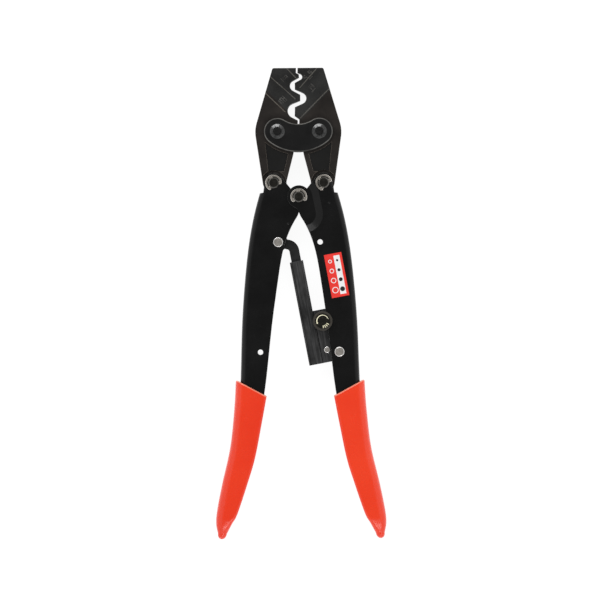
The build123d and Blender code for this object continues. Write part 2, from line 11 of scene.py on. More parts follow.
import bpy
import numpy as np
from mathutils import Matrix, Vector


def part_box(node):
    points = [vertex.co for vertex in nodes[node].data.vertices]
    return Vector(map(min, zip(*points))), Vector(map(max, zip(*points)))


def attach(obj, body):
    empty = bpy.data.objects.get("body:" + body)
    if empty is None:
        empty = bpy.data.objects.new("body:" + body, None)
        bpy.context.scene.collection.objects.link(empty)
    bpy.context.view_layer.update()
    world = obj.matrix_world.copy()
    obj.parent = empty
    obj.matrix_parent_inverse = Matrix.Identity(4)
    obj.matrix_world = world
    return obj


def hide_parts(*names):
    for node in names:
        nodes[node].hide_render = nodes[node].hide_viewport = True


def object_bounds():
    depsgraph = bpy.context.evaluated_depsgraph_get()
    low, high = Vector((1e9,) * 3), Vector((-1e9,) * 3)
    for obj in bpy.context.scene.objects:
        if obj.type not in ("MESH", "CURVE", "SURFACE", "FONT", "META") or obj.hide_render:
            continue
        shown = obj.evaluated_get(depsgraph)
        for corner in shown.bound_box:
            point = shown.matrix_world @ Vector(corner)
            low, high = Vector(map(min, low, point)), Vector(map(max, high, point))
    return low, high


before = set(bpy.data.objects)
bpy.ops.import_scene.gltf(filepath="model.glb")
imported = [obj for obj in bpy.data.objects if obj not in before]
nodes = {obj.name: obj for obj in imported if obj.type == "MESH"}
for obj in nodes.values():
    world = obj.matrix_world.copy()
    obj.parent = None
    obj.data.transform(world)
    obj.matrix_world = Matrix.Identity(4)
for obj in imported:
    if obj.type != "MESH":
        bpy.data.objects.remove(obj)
cad_low, cad_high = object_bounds()
MM = 0.001
MID_Z = (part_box("left_jaw")[0].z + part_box("left_jaw")[1].z) / 2
print("CAD box in mm:", [round(v / MM, 1) for v in (*cad_low, *cad_high)])

# %% [markdown]
# ## Table, light and camera
#
# A black tool with bright rivets is best pictured on an opal light table, under a soft dome
# that is dark straight overhead. The table glows, so every gap in the tool reads as white and
# hardly a shadow is left. The dark top of the dome keeps the flat black faces black, while its
# bright flanks draw soft strips along the bends and the chamfers. One lamp would do for the
# shape, but only a dome gives strips with no hard ends.

# %% An opal table
TABLE_HALF = 3.0
TABLE_GAP = 0.0002
TABLE_GLOW = 0.93


def flat_sheet(name, half, z):
    """One square face with its middle at the origin, at a height."""
    ring = np.array([(-1, -1), (1, -1), (1, 1), (-1, 1)]) * half
    mesh = bpy.data.meshes.new(name)
    mesh.from_pydata(np.c_[ring, np.full(4, z)].tolist(), [], [(0, 1, 2, 3)])
    piece = bpy.data.objects.new(name, mesh)
    bpy.context.scene.collection.objects.link(piece)
    return piece


table = flat_sheet("table_top", TABLE_HALF, cad_low[2] - TABLE_GAP)
opal = bpy.data.materials.new("opal_table")
opal.use_nodes = True
opal_shader = opal.node_tree.nodes["Principled BSDF"]
opal_shader.inputs["Base Color"].default_value = (0.16, 0.16, 0.16, 1)
opal_shader.inputs["Roughness"].default_value = 0.8
opal_shader.inputs["Specular IOR Level"].default_value = 0.0
opal_shader.inputs["Emission Color"].default_value = (1, 1, 1, 1)
opal_shader.inputs["Emission Strength"].default_value = TABLE_GLOW
table.data.materials.append(opal)
print("table side in m:", 2 * TABLE_HALF)

# %% A dome that is dark overhead and bright at its flanks
DOME_TOP, DOME_FLANK = 0.30, 0.92
world = bpy.data.worlds.new("studio_dome")
bpy.context.scene.world = world
world.use_nodes = True
air = world.node_tree
direction = air.nodes.new("ShaderNodeTexCoord")
parts = air.nodes.new("ShaderNodeSeparateXYZ")
climb = air.nodes.new("ShaderNodeMapRange")
climb.interpolation_type = "SMOOTHSTEP"
for key, number in zip(("From Min", "From Max", "To Min", "To Max"), (0.62, 0.96, DOME_FLANK, DOME_TOP)):
    climb.inputs[key].default_value = number
air.links.new(direction.outputs["Generated"], parts.inputs[0])
air.links.new(parts.outputs["Z"], climb.inputs["Value"])
air.links.new(climb.outputs["Result"], air.nodes["Background"].inputs["Strength"])
air.nodes["Background"].inputs["Color"].default_value = (1, 1, 1, 1)
bpy.context.scene.view_settings.view_transform = "Standard"


# %% Two soft lamps shape the dome's light
def soft_panel(name, place, size, power):
    """A rectangular lamp at a place, turned to shine at the tool."""
    lamp = bpy.data.lights.new(name, "AREA")
    lamp.shape = "RECTANGLE"
    lamp.size, lamp.size_y = size
    lamp.energy = power
    panel = bpy.data.objects.new(name, lamp)
    bpy.context.scene.collection.objects.link(panel)
    panel.location = place
    panel.rotation_euler = (-Vector(place)).to_track_quat("-Z", "Y").to_euler()
    return panel


soft_panel("jaw_panel", (-0.25, 1.1, 1.25), (1.2, 0.5), 9)
soft_panel("foot_panel", (0.35, -1.2, 1.1), (1.2, 0.5), 6)
print("dome:", DOME_TOP, "overhead,", DOME_FLANK, "at its flanks")

# %% A long lens straight above
VIEW_WIDTH = 0.4462
ROLL = math.radians(0.43)
LENS, SENSOR = 480.0, 36.0
height = VIEW_WIDTH / 2 * LENS / (SENSOR / 2)
lens = bpy.data.cameras.new("camera")
lens.lens = LENS
lens.sensor_width = SENSOR
lens.clip_start, lens.clip_end = 0.05, 20
camera = bpy.data.objects.new("camera", lens)
bpy.context.scene.collection.objects.link(camera)
camera.location = (0.0003, 0.0026, height + 0.012)
camera.rotation_euler = (0, 0, -ROLL)
bpy.context.scene.camera = camera
print("camera height in m:", round(height, 3))

# %% [markdown]
# ## Finishes
#
# Every finish is built the same way: a broad cloud of noise shifts the colour and the gloss a
# little, a fine grain drives the bump, and on steel an edge mask brightens corners, partly where
# the black has rubbed thin and partly as a painted highlight. The edge mask compares the true
# surface normal with one that has been rounded over by the Bevel node, so it finds edges on any mesh.


# %% A finish with cloud, grain and worn edges with a painted highlight
def new_finish(name):
    """An empty node material and its surface shader."""
    material = bpy.data.materials.new(name)
    material.use_nodes = True
    tree = material.node_tree
    shader = tree.nodes["Principled BSDF"]
    return material, tree, shader


def node(tree, kind, **values):
    """A node of a kind, with its properties and its numbered or named inputs set."""
    made = tree.nodes.new("ShaderNode" + kind)
    for key, value in values.items():
        if hasattr(made, key):
            setattr(made, key, value)
        else:
            made.inputs[key.replace("_", " ")].default_value = value
    return made


def place(tree):
    """The coordinates that every pattern is drawn in: the piece's own, in metres."""
    found = tree.nodes.get("own_place")
    if found is None:
        found = tree.nodes.new("ShaderNodeTexCoord")
        found.name = "own_place"
    return found.outputs["Object"]


def noise(tree, scale, detail=3.0, roughness=0.5, stretch=(1, 1, 1), turn=0.0):
    """A cloud of noise; scale is in features per metre. Stretch drags it along an axis, after
    the pattern's axes have been turned about Z."""
    mapping = node(tree, "Mapping")
    mapping.vector_type = "TEXTURE"
    mapping.inputs["Scale"].default_value = [1 / drag for drag in stretch]
    mapping.inputs["Rotation"].default_value = (0, 0, turn)
    tree.links.new(place(tree), mapping.inputs["Vector"])
    cloud = node(tree, "TexNoise", Scale=scale, Detail=detail, Roughness=roughness)
    tree.links.new(mapping.outputs["Vector"], cloud.inputs["Vector"])
    return cloud.outputs["Fac"]


def spread(tree, value, low, high, to_low=0.0, to_high=1.0):
    """Re-maps a value from one range to another, held inside the new range."""
    remap = node(tree, "MapRange")
    for key, number in zip(("From Min", "From Max", "To Min", "To Max"), (low, high, to_low, to_high)):
        remap.inputs[key].default_value = number
    tree.links.new(value, remap.inputs["Value"])
    return remap.outputs["Result"]


def blend_colour(tree, factor, first, second):
    """A mix of two colours, or of two colour outputs, by a factor."""
    mix = tree.nodes.new("ShaderNodeMix")
    mix.data_type = "RGBA"
    tree.links.new(factor, mix.inputs["Factor"])
    for socket, colour in ((mix.inputs["A"], first), (mix.inputs["B"], second)):
        if isinstance(colour, tuple):
            socket.default_value = (*colour, 1)
        else:
            tree.links.new(colour, socket)
    return mix.outputs["Result"]


def arithmetic(tree, operation, first, second):
    """One sum on two values, each a number or an output."""
    sum_node = tree.nodes.new("ShaderNodeMath")
    sum_node.operation = operation
    sum_node.use_clamp = False
    for socket, value in zip(sum_node.inputs, (first, second)):
        if isinstance(value, (int, float)):
            socket.default_value = value
        else:
            tree.links.new(value, socket)
    return sum_node.outputs["Value"]


def edge_mask(tree, radius, low=0.06, high=0.30):
    """One where the surface bends sharply within a radius, nought on flat faces."""
    bevel = node(tree, "Bevel", samples=4, Radius=radius)
    true = node(tree, "NewGeometry")
    dot = tree.nodes.new("ShaderNodeVectorMath")
    dot.operation = "DOT_PRODUCT"
    tree.links.new(bevel.outputs["Normal"], dot.inputs[0])
    tree.links.new(true.outputs["Normal"], dot.inputs[1])
    bend = arithmetic(tree, "SUBTRACT", 1.0, dot.outputs["Value"])
    return spread(tree, bend, low, high)


def tilt_mask(tree, low, high):
    """One on faces that lean: the front's own tilt, from nought facing up to one upright."""
    normal = tree.nodes.new("ShaderNodeNewGeometry")
    split = tree.nodes.new("ShaderNodeSeparateXYZ")
    tree.links.new(normal.outputs["Normal"], split.inputs[0])
    level = arithmetic(tree, "ABSOLUTE", split.outputs["Z"], 0.0)
    lean = arithmetic(tree, "SUBTRACT", 1.0, level)
    return spread(tree, lean, low, high)


def bump(tree, shader, height_value, distance, strength=1.0):
    """Raises the surface by a height pattern, a distance in metres at full height."""
    relief = node(tree, "Bump", Strength=strength, Distance=distance)
    tree.links.new(height_value, relief.inputs["Height"])
    tree.links.new(relief.outputs["Normal"], shader.inputs["Normal"])


# %% [markdown]
# ### Black steel
#
# The jaws are forged, ground and blacked, the link plates and handles are painted. All are
# dark, so what tells them apart is gloss: ground black steel is a satin, paint is smoother
# with a faint orange peel, and both are lighter on their corners, partly from wear and partly
# as a painted highlight.


# %% Black steels
def black_steel(name, dark, light, worn_and_highlight, gloss, grain=(900, 0.00002), metallic=0.5,
                stretch=(1, 1, 1), turn=0.0, edge=0.0006, edge_strength=0.5, specular=0.5,
                streak=0.0):
    """A blacked or painted steel: two dark tones, edges lightened by wear and a painted highlight, a gloss
    range and a grain.
    """
    material, tree, shader = new_finish(name)
    cloud = noise(tree, 45, 4, 0.6)
    tone = blend_colour(tree, spread(tree, cloud, 0.35, 0.7), dark, light)
    fine = noise(tree, grain[0], 3, 0.6, stretch, turn)
    tone = blend_colour(tree, spread(tree, fine, 0.45, 0.75, 0.0, streak), tone, worn_and_highlight)
    # Corner tone: partly rubbed wear, partly a painted highlight.
    rub_and_edge_highlight = arithmetic(tree, "MULTIPLY", edge_mask(tree, edge), spread(tree, noise(tree, 160, 4), 0.3, 0.65))
    rub_and_edge_highlight = arithmetic(tree, "MULTIPLY", rub_and_edge_highlight, edge_strength)
    tree.links.new(blend_colour(tree, rub_and_edge_highlight, tone, worn_and_highlight), shader.inputs["Base Color"])
    satin = arithmetic(tree, "ADD", spread(tree, cloud, 0.3, 0.7, gloss[0], gloss[1]),
                       spread(tree, fine, 0.3, 0.7, -0.04, 0.04))
    tree.links.new(satin, shader.inputs["Roughness"])
    shader.inputs["Metallic"].default_value = metallic
    shader.inputs["Specular IOR Level"].default_value = specular
    bump(tree, shader, fine, grain[1])
    return material, tree, shader


SLEEVE_TILT = math.radians(10.4)
jaw_finish, jaw_tree, jaw_shader = black_steel(
    "blacked_forging", (0.014, 0.0142, 0.0138), (0.031, 0.031, 0.030), (0.32, 0.31, 0.29), (0.36, 0.54),
    (1400, 0.00003), 0.6, edge_strength=1.0, streak=0.04,
)
plate_finish, plate_tree, plate_shader = black_steel(
    "blacked_plate", (0.006, 0.006, 0.006), (0.010, 0.010, 0.010), (0.30, 0.30, 0.30), (0.32, 0.45),
    (1800, 0.000012), 0.3, specular=0.3,
)
handle_finish = black_steel(
    "handle_paint", (0.0020, 0.0020, 0.0020), (0.0042, 0.0042, 0.0043), (0.32, 0.32, 0.31), (0.20, 0.30),
    (520, 0.000012), 0.0, edge=0.0005, edge_strength=0.6, specular=0.25,
)[0]
housing_finish, sleeve_tree, sleeve_shader = black_steel(
    "black_zinc_sheet", (0.020, 0.020, 0.020), (0.052, 0.052, 0.053), (0.26, 0.26, 0.26), (0.32, 0.50),
    (700, 0.00005), 0.7, stretch=(1.0, 0.06, 1.0), turn=SLEEVE_TILT, edge_strength=0.9, streak=0.24,
)
rack_finish = black_steel(
    "blacked_bar", (0.012, 0.012, 0.012), (0.026, 0.026, 0.027), (0.24, 0.24, 0.24), (0.35, 0.5),
    (900, 0.00003), 0.7,
)[0]

# %% [markdown]
# The lower half of each jaw was tempered, and the blacking there took a warm brown. The two
# tempers meet on the slanting lines cut across the jaws, at forty-five degrees to the middle.
# The link plates' chamfers carry a painted highlight, brighter than their painted faces.

# %% The temper line and the painted highlight on the plates' chamfers
TEMPER_LINE = 0.1348
TEMPER_BLUR = 0.0006
JAW_HALF, LINE_DEPTH, FIGURE_DEPTH, POCKET_DEPTH = 8.0, 0.30, 0.25, 0.8
jaw_place = jaw_tree.nodes.new("ShaderNodeSeparateXYZ")
jaw_tree.links.new(place(jaw_tree), jaw_place.inputs[0])
sideways = arithmetic(jaw_tree, "ABSOLUTE", jaw_place.outputs["X"], 0.0)
above = arithmetic(jaw_tree, "SUBTRACT", jaw_place.outputs["Y"], sideways)
hard = spread(jaw_tree, above, TEMPER_LINE - TEMPER_BLUR, TEMPER_LINE + TEMPER_BLUR)
jaw_tone = jaw_shader.inputs["Base Color"].links[0].from_socket
warm = blend_colour(jaw_tree, spread(jaw_tree, noise(jaw_tree, 90, 4), 0.3, 0.7),
                    (0.015, 0.0122, 0.0105), (0.026, 0.0212, 0.018))
# The brown zone's edges are lightened, partly as wear and partly as a painted highlight.
brown_edge_wear_and_highlight = blend_colour(jaw_tree, edge_mask(jaw_tree, 0.0006), warm, (0.22, 0.185, 0.155))
two_tempers = blend_colour(jaw_tree, hard, brown_edge_wear_and_highlight, jaw_tone)
front = arithmetic(jaw_tree, "SUBTRACT", jaw_place.outputs["Z"], MID_Z)
off_middle = arithmetic(jaw_tree, "ABSOLUTE", front, 0.0)


def floor_at(depth, within):
    """One on the floor of a cut of this depth in the jaw's faces, nought elsewhere."""
    gap = arithmetic(jaw_tree, "ABSOLUTE",
                     arithmetic(jaw_tree, "SUBTRACT", off_middle, (JAW_HALF - depth) * MM), 0.0)
    flat = arithmetic(jaw_tree, "SUBTRACT", 1.0, tilt_mask(jaw_tree, 0.3, 0.6))
    return arithmetic(jaw_tree, "MULTIPLY", flat,
                      spread(jaw_tree, gap, within * MM * 0.6, within * MM, 1.0, 0.0))


cut = floor_at(LINE_DEPTH, 0.03)
cut = arithmetic(jaw_tree, "MULTIPLY", cut, spread(jaw_tree, noise(jaw_tree, 130, 3), 0.3, 0.55, 0.35, 1.0))
sunk = blend_colour(jaw_tree, floor_at(POCKET_DEPTH, 0.10), two_tempers, (0.008, 0.008, 0.0075))
stamped = arithmetic(jaw_tree, "MULTIPLY", floor_at(FIGURE_DEPTH, 0.03), 0.3)
marked = blend_colour(jaw_tree, stamped, sunk, (0.12, 0.11, 0.10))
jaw_tree.links.new(blend_colour(jaw_tree, cut, marked, (0.20, 0.185, 0.16)),
                   jaw_shader.inputs["Base Color"])

plate_tone = plate_shader.inputs["Base Color"].links[0].from_socket
# A painted highlight on the plates' chamfers, patchy along them.
chamfer_faces = arithmetic(plate_tree, "MULTIPLY", tilt_mask(plate_tree, 0.15, 0.25),
                    spread(plate_tree, tilt_mask(plate_tree, 0.5, 0.8), 0, 1, 1, 0))
chamfer_highlight = arithmetic(plate_tree, "MULTIPLY", chamfer_faces,
                   spread(plate_tree, noise(plate_tree, 70, 3), 0.35, 0.6, 0.15, 1.0))
plate_tree.links.new(blend_colour(plate_tree, chamfer_highlight, plate_tone, (0.15, 0.145, 0.135)),
                     plate_shader.inputs["Base Color"])
print("temper line meets the middle at", round(TEMPER_LINE / MM, 1), "mm")


# %% [markdown]
# The sleeve is folded from one sheet. Painted shade darkens the line where the ears fold away
# from it and the bend on its far side; both lines are found by their distance from the sleeve's axis.

# %% Painted shade along the folds
SLEEVE_TOP = np.array([-2.2, 31.3])
SLEEVE_ACROSS = np.array([math.cos(SLEEVE_TILT), math.sin(SLEEVE_TILT)])
across = sleeve_tree.nodes.new("ShaderNodeVectorMath")
across.operation = "DOT_PRODUCT"
across.inputs[1].default_value = (*SLEEVE_ACROSS, 0)
sleeve_tree.links.new(place(sleeve_tree), across.inputs[0])
# Painted shade darkens both fold lines.
fold_shade = sleeve_shader.inputs["Base Color"].links[0].from_socket
for side, reach, weight in ((5.25, 0.45, 1.0), (-3.5, 0.4, 0.75)):
    line = float(SLEEVE_TOP @ SLEEVE_ACROSS + side) * MM
    away = arithmetic(sleeve_tree, "ABSOLUTE",
                      arithmetic(sleeve_tree, "SUBTRACT", across.outputs["Value"], line), 0.0)
    near = spread(sleeve_tree, away, reach * MM * 0.5, reach * MM, weight, 0.0)
    fold_shade = blend_colour(sleeve_tree, near, fold_shade, (0.004, 0.004, 0.004))
sleeve_tree.links.new(fold_shade, sleeve_shader.inputs["Base Color"])

# %% [markdown]
# ### Bright steel
#
# Clips and rivets are plated, pins are turned and oiled. A lathe or a press leaves fine rings
# and streaks, so their gloss is varied by noise that is much finer than the piece.


# %% Bright steels
def bright_steel(name, dark, light, gloss, grain=(2500, 0.00001)):
    """A plated or oiled steel: a colour range, a gloss range and a fine grain."""
    material, tree, shader = new_finish(name)
    cloud = noise(tree, 260, 4, 0.6)
    tree.links.new(blend_colour(tree, spread(tree, cloud, 0.3, 0.7), dark, light),
                   shader.inputs["Base Color"])
    fine = noise(tree, grain[0], 3, 0.6)
    satin = arithmetic(tree, "ADD", spread(tree, cloud, 0.3, 0.7, gloss[0], gloss[1]),
                       spread(tree, fine, 0.3, 0.7, -0.05, 0.05))
    tree.links.new(satin, shader.inputs["Roughness"])
    shader.inputs["Metallic"].default_value = 1.0
    bump(tree, shader, fine, grain[1])
    return material


def turned_pin(name, face, rim, gloss, lean=(0.12, 0.24), mottle_scale=500):
    """A flat face inside a turned or pressed rim: the face has its own tone, the rim's tone is a
    painted highlight. Lean gives the tilts between which the face's tone gives way to the rim's."""
    material, tree, shader = new_finish(name)
    cloud = spread(tree, noise(tree, mottle_scale, 4), 0.3, 0.7)
    mottle = blend_colour(tree, cloud, face, tuple(1.7 * c for c in face))
    # The rim colour is a painted highlight on the leaning rims and chamfers.
    tree.links.new(blend_colour(tree, tilt_mask(tree, *lean), mottle, rim), shader.inputs["Base Color"])
    fine = noise(tree, 2600, 3, 0.6)
    tree.links.new(spread(tree, fine, 0.3, 0.7, gloss[0], gloss[1]), shader.inputs["Roughness"])
    shader.inputs["Metallic"].default_value = 0.9
    bump(tree, shader, fine, 0.00001)
    return material


# Each rim colour below is a painted highlight on the leaning rims and chamfers.
nickel_clip = turned_pin("nickel_clip", (0.40, 0.37, 0.33), (0.95, 0.90, 0.82), (0.16, 0.30),
                         (0.02, 0.10), 200)
nickel_rivet = turned_pin("nickel_rivet", (0.44, 0.415, 0.38), (1.0, 0.99, 0.97), (0.16, 0.30),
                          (0.01, 0.06), 300)
pin_end = turned_pin("pin_end", (0.022, 0.021, 0.018), (0.13, 0.125, 0.115), (0.28, 0.42))
ring_steel = bright_steel("ring_steel", (0.075, 0.077, 0.077), (0.14, 0.14, 0.14), (0.16, 0.28))
pivot_core = turned_pin("pivot_core", (0.016, 0.016, 0.016), (0.08, 0.08, 0.08), (0.35, 0.5))
oiled_steel = bright_steel("oiled_steel", (0.30, 0.30, 0.29), (0.45, 0.45, 0.44), (0.3, 0.45))

# %% Finishes for the CAD pieces
for name, finish in {
    "left_jaw": jaw_finish, "right_jaw": jaw_finish,
    "front_link_plate": plate_finish, "rear_link_plate": plate_finish,
    "left_handle": handle_finish, "right_handle": handle_finish,
    "ratchet_housing": housing_finish, "rack": rack_finish,
    "left_outer_clip": nickel_clip, "right_outer_clip": nickel_clip, "centre_clip": nickel_clip,
    "rack_rivet": nickel_rivet, "housing_rivet": nickel_rivet, "spring_rivet": nickel_rivet,
    "left_pivot_ring": ring_steel, "right_pivot_ring": ring_steel,
    "left_jaw_pivot": pivot_core, "right_jaw_pivot": pivot_core,
    "left_outer_pin": pin_end, "right_outer_pin": pin_end, "centre_pin": pin_end,
    "centre_spacer": oiled_steel, "rack_front_spacer": oiled_steel, "rack_rear_spacer": oiled_steel,
    "housing_front_spacer": oiled_steel, "housing_rear_spacer": oiled_steel,
    "pawl": oiled_steel, "knob_shaft": oiled_steel, "pawl_spring": oiled_steel,
}.items():
    nodes[name].data.materials.clear()
    nodes[name].data.materials.append(finish)

# %% [markdown]
# ## Vinyl grips
#
# Each grip is a thick PVC sleeve that was dipped or shrunk over the channel, so its outside
# follows the handle and ends in a pinched, rounded tip. It is one closed surface: a rounded
# rectangle is carried from the mouth to the tip, then the same loop turns in over the rim and
# runs a little way down inside, so the mouth shows a real wall thickness.


# %% A smooth line through a few points
def smooth_line(points, steps):
    """Catmull-Rom curve: between two points, a cubic whose slope at each is half the way
    between its neighbours. Sampled evenly in its own parameter, as one array."""
    p = np.asarray(points, float)
    p = np.vstack([2 * p[0] - p[1], p, 2 * p[-1] - p[-2]])
    t = np.linspace(0, len(p) - 3, steps)
    i = np.minimum(t.astype(int), len(p) - 4)
    f = (t - i)[:, None]
    a, b, c, d = p[i], p[i + 1], p[i + 2], p[i + 3]
    return 0.5 * (2 * b + (c - a) * f + (2 * a - 5 * b + 4 * c - d) * f**2 + (3 * b - a - 3 * c + d) * f**3)


def surface(name, grid, close_ends=True, smooth=True):
    """A closed tube from an array of loops (loops x points x 3), with its ends fanned shut."""
    rings, count = grid.shape[:2]
    corners = grid.reshape(-1, 3)
    r, c = np.meshgrid(np.arange(rings - 1), np.arange(count), indexing="ij")
    right = (c + 1) % count
    quads = np.stack([r * count + c, r * count + right, (r + 1) * count + right, (r + 1) * count + c], -1)
    faces = [tuple(int(v) for v in q) for q in quads.reshape(-1, 4)]
    if close_ends:
        first, last = len(corners), len(corners) + 1
        corners = np.vstack([corners, grid[0].mean(0), grid[-1].mean(0)])
        k = np.arange(count)
        after = (k + 1) % count
        base = (rings - 1) * count
        faces += [(int(b), int(a), first) for a, b in zip(k, after)]
        faces += [(int(base + a), int(base + b), last) for a, b in zip(k, after)]
    mesh = bpy.data.meshes.new(name)
    mesh.from_pydata(corners.tolist(), [], faces)
    mesh.polygons.foreach_set("use_smooth", [smooth] * len(mesh.polygons))
    mesh.update()
    piece = bpy.data.objects.new(name, mesh)
    bpy.context.scene.collection.objects.link(piece)
    return piece


# %% The grip's section
CORNER_STEPS = 9


def rounded_loops(inner, outer, half, r_in, r_out):
    """Rounded rectangles, one per station: from the inner to the outer edge line across, and
    half either side of the middle plane. Each corner is a quarter circle with its own radius
    on the inner and the outer side, eased so that it never exceeds half the width."""
    across = outer - inner
    width = np.linalg.norm(across, axis=1)
    way = across / width[:, None]
    r_in = np.minimum(r_in, np.minimum(width * 0.5, half))
    r_out = np.minimum(r_out, np.minimum(width * 0.5, half))
    turn = np.linspace(0, np.pi / 2, CORNER_STEPS)
    loops = []
    for side, up, start in ((1, 1, 0), (-1, 1, 1), (-1, -1, 2), (1, -1, 3)):
        radius = r_out if side > 0 else r_in
        angle = turn + start * np.pi / 2
        centre_x = np.where(side > 0, width - radius, radius)
        centre_z = up * (half - radius)
        x = centre_x[:, None] + radius[:, None] * np.cos(angle)
        z = centre_z[:, None] + radius[:, None] * np.sin(angle)
        xy = inner[:, None, :] + way[:, None, :] * x[..., None]
        loops.append(np.concatenate([xy, (MID_Z / MM + z)[..., None]], -1))
    return np.concatenate(loops, 1)


# %% One grip, then the other
OUTER_LINE = [(47.9, -57.6), (49.2, -78), (52.4, -106.5), (58.5, -133.3), (62.5, -153.5),
              (63.3, -163.2), (62.0, -170.6)]
INNER_LINE = [(25.2, -69.9), (28.9, -89.5), (33.9, -114.5), (39.3, -132.5), (47.2, -155.8),
              (51.4, -163.4), (55.4, -171.0)]
TIP = np.array([59.3, -174.9])
GRIP_HALF = (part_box("left_grip")[1].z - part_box("left_grip")[0].z) / 2 / MM
STATIONS, TIP_STATIONS, LIP_STATIONS = 96, 14, 7
WALL_OUT, WALL_IN = 2.5, 1.2
LIP_RISE = 1.2


def grip_skin():
    """The outside, from mouth to tip, in millimetres for the right grip. Past the handle's
    end the sleeve flattens as the square of the way left. The tip closes like a quarter
    circle: width and thickness shrink as its cosine while the middle moves on as its sine."""
    outer = smooth_line(OUTER_LINE, STATIONS)
    inner = smooth_line(INNER_LINE, STATIONS)
    along = np.linspace(0, 1, STATIONS)
    late = np.clip((along - 0.66) / 0.34, 0, 1)
    half = GRIP_HALF - 4.6 * late**2
    skin = rounded_loops(inner, outer, half, 2.2 + 1.6 * late, 7.2 - 2.0 * late)
    turn = np.linspace(0, np.pi / 2, TIP_STATIONS + 1)[1:, None]
    shrink = np.cos(turn) * 0.985 + 0.015
    middle = (outer[-1] + inner[-1]) / 2
    centre = middle + (TIP - middle) * np.sin(turn)
    tip = rounded_loops(centre + (inner[-1] - middle) * shrink, centre + (outer[-1] - middle) * shrink,
                        half[-1] * shrink[:, 0], 3.8 * shrink[:, 0], 5.2 * shrink[:, 0])
    return skin, tip


def grip_wall(stations):
    """The inside, which hugs the steel channel, 0.1 mm clear of it, at the given stations."""
    outer = smooth_line(OUTER_LINE, STATIONS)[stations]
    inner = smooth_line(INNER_LINE, STATIONS)[stations]
    way = (outer - inner) / np.linalg.norm(outer - inner, axis=1)[:, None]
    count = len(stations)
    return rounded_loops(inner + way * WALL_IN, outer - way * WALL_OUT,
                         np.full(count, 8.1), np.full(count, 0.5), np.full(count, 4.6))


def grip_lip(inside, outside):
    """A rolled lip: half an ellipse carried from the wall's first loop to the skin's."""
    middle, reach = (inside + outside) / 2, (outside - inside) / 2
    mouth = np.array(OUTER_LINE[0]) - np.array(INNER_LINE[0])
    ahead = np.array([-mouth[1], mouth[0], 0.0]) / np.linalg.norm(mouth)
    turn = np.linspace(np.pi, 0, LIP_STATIONS)[1:-1, None, None]
    return middle + reach * np.cos(turn) + ahead * LIP_RISE * np.sin(turn)


def make_grip(name, side):
    """The whole grip; side is 1 for the right, -1 for the left, which is the right one turned
    over about the tool's long axis, so its faces still point outwards."""
    skin, tip = grip_skin()
    wall = grip_wall(np.arange(0, 76, 5))
    lip = grip_lip(wall[0], skin[0])
    grid = np.concatenate([wall[::-1], lip, skin, tip]) * MM
    if side < 0:
        grid = grid * np.array([-1, 1, -1]) + np.array([0, 0, 2 * MID_Z])
    return surface(name, grid)


right_grip = make_grip("right_vinyl_grip", 1)
left_grip = make_grip("left_vinyl_grip", -1)
for piece, body, cad in ((right_grip, "right_handle", "right_grip"),
                         (left_grip, "left_handle", "left_grip")):
    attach(piece, body)
    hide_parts(cad)
print("grip faces:", len(right_grip.data.polygons))

# %% [markdown]
# ### Red PVC
#
# Soft PVC is glossy but not glassy: a clear skin over a deep orange-red that lets a little
# light in. Handling leaves a faint unevenness, drawn here as a slow bump and a slight drift
# in gloss.

# %% Red PVC
vinyl, tree, shader = new_finish("red_soft_vinyl")
tone = blend_colour(tree, spread(tree, noise(tree, 22, 2, 0.4), 0.3, 0.7),
                    (0.80, 0.034, 0.006), (0.86, 0.048, 0.010))
start, end = np.array(INNER_LINE[0]), np.array(OUTER_LINE[0])
ahead = np.array([start[1] - end[1], end[0] - start[0]]) / np.linalg.norm(end - start)
spot = tree.nodes.new("ShaderNodeSeparateXYZ")
tree.links.new(place(tree), spot.inputs[0])
sideways = arithmetic(tree, "MULTIPLY", arithmetic(tree, "ABSOLUTE", spot.outputs["X"], 0.0),
                      float(ahead[0]))
past_mouth = arithmetic(tree, "ADD", sideways,
                        arithmetic(tree, "MULTIPLY", spot.outputs["Y"], float(ahead[1])))
mouth = float(start @ ahead)
# Towards the mouth's lip the red lightens into a painted highlight.
lip = spread(tree, past_mouth, (mouth + 0.05) * MM, (mouth + 0.6) * MM, 0.0, 0.85)
tree.links.new(blend_colour(tree, lip, tone, (0.93, 0.30, 0.19)), shader.inputs["Base Color"])
tree.links.new(spread(tree, noise(tree, 140, 3, 0.5), 0.3, 0.7, 0.20, 0.30), shader.inputs["Roughness"])
shader.inputs["Subsurface Weight"].default_value = 0.06
shader.inputs["Subsurface Radius"].default_value = (0.003, 0.001, 0.0005)
shader.inputs["Specular IOR Level"].default_value = 0.35
shader.inputs["Coat Weight"].default_value = 0.3
shader.inputs["Coat Roughness"].default_value = 0.10
bump(tree, shader, noise(tree, 75, 2, 0.4), 0.00012, 0.5)
for piece in (left_grip, right_grip):
    piece.data.materials.append(vinyl)

# %% [markdown]
# ## The release knob
#
# The knob is a moulded cap with a raised rim. A curved arrow on its sunk face shows which way
# to turn it; it is an inlay of pale paint, a thin band that follows a circle and swells into
# an arrow head at its end. Four short ticks stand where the real cap carries a word.


# %% Flat inlays
def inlay(name, loop, low, high):
    """A thin solid from a flat outline (points x 2, anticlockwise, in mm) between two heights."""
    loop = np.asarray(loop, float)
    count = len(loop)
    corners = np.vstack([np.c_[loop, np.full(count, low)], np.c_[loop, np.full(count, high)]]) * MM
    k = np.arange(count)
    after = (k + 1) % count
    faces = [tuple(int(v) for v in k[::-1]), tuple(int(v) for v in k + count)]
    faces += [(int(a), int(b), int(b + count), int(a + count)) for a, b in zip(k, after)]
    mesh = bpy.data.meshes.new(name)
    mesh.from_pydata(corners.tolist(), [], faces)
    mesh.update()
    piece = bpy.data.objects.new(name, mesh)
    bpy.context.scene.collection.objects.link(piece)
    return piece


